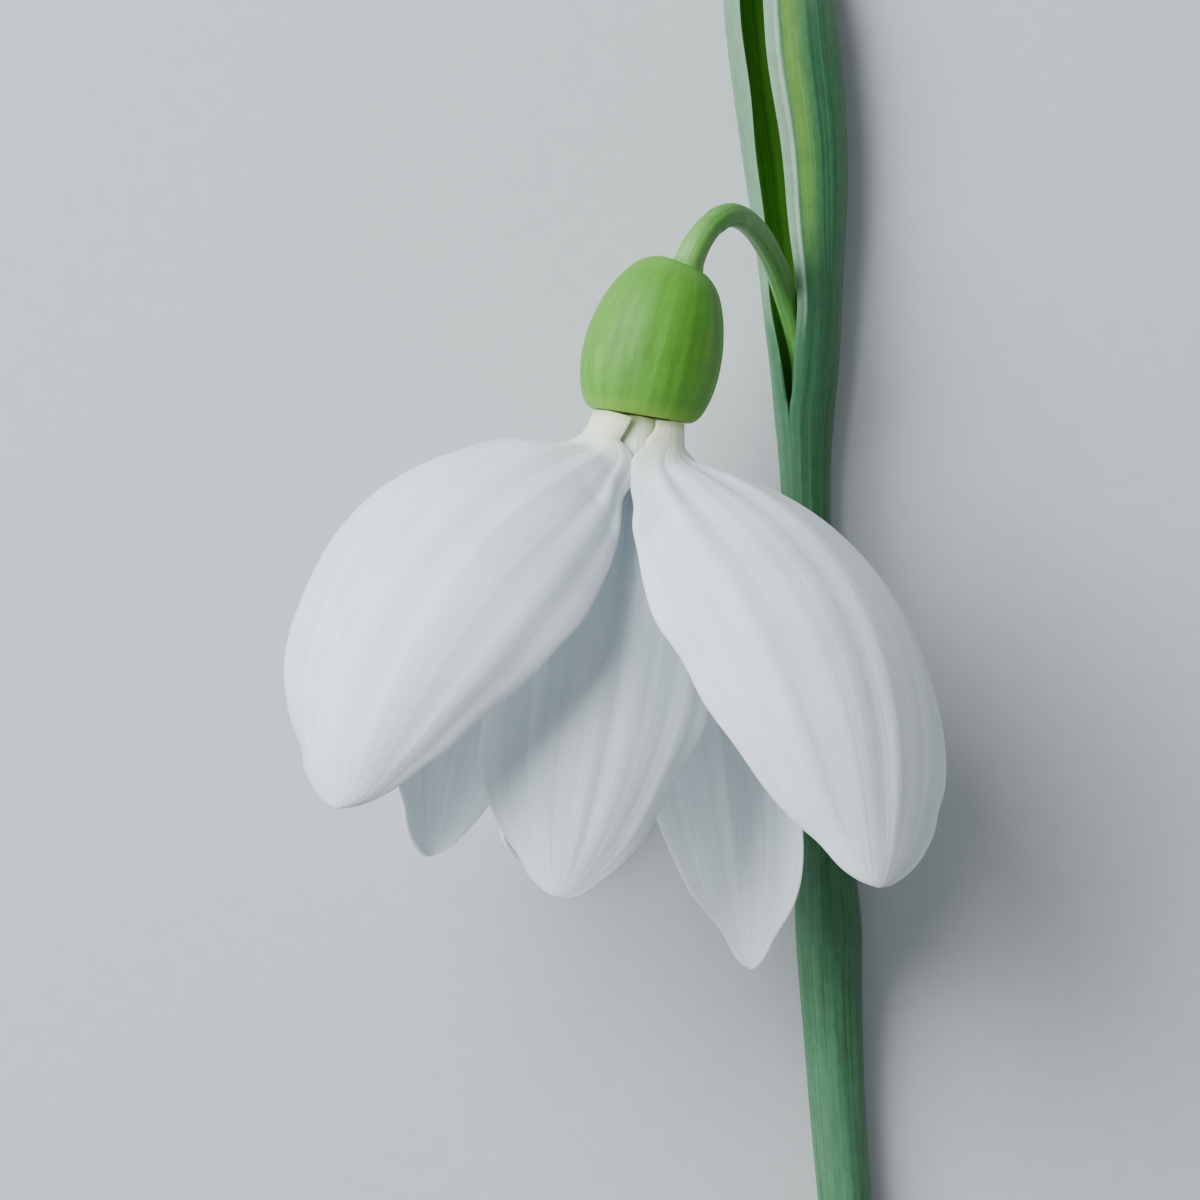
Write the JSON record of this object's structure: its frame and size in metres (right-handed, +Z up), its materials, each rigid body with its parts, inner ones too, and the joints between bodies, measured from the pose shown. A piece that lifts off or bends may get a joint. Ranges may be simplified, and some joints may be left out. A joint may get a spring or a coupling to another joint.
{
  "type": "snowdrop flower",
  "caption": "Cut snowdrop lying on its side: nodding white bell of tepals under a green ovary, on an arched pedicel from a green spathe and scape.",
  "frame": {"origin": "centre of the underside of the part's box, on the surface it lies on", "axes": "+Y along the scape towards the spathe's tip, +Z up off the surface, +X to the side that the right outer tepal points to"},
  "size_m": [0.0326, 0.088, 0.0253],
  "materials": {
    "scape_green": "satin",
    "spathe_green": "satin",
    "pedicel_green": "satin",
    "ovary_green": "satin",
    "disc_green": "satin",
    "tepal_white": "satin",
    "filament_white": "satin",
    "anther_orange": "matte",
    "style_white": "satin"
  },
  "bodies": {
    "root": {"scape": "scape_green", "spathe": "spathe_green", "pedicel": "pedicel_green", "ovary": "ovary_green", "nectary_disc": "disc_green", "outer_tepal_left": "tepal_white", "outer_tepal_right": "tepal_white", "outer_tepal_back": "tepal_white", "inner_tepal_front": "tepal_white", "inner_tepal_right": "tepal_white", "inner_tepal_left": "tepal_white", "filament_1": "filament_white", "filament_2": "filament_white", "filament_3": "filament_white", "filament_4": "filament_white", "filament_5": "filament_white", "filament_6": "filament_white", "anther_1": "anther_orange", "anther_2": "anther_orange", "anther_3": "anther_orange", "anther_4": "anther_orange", "anther_5": "anther_orange", "anther_6": "anther_orange", "style": "style_white"}
  },
  "joints": []
}
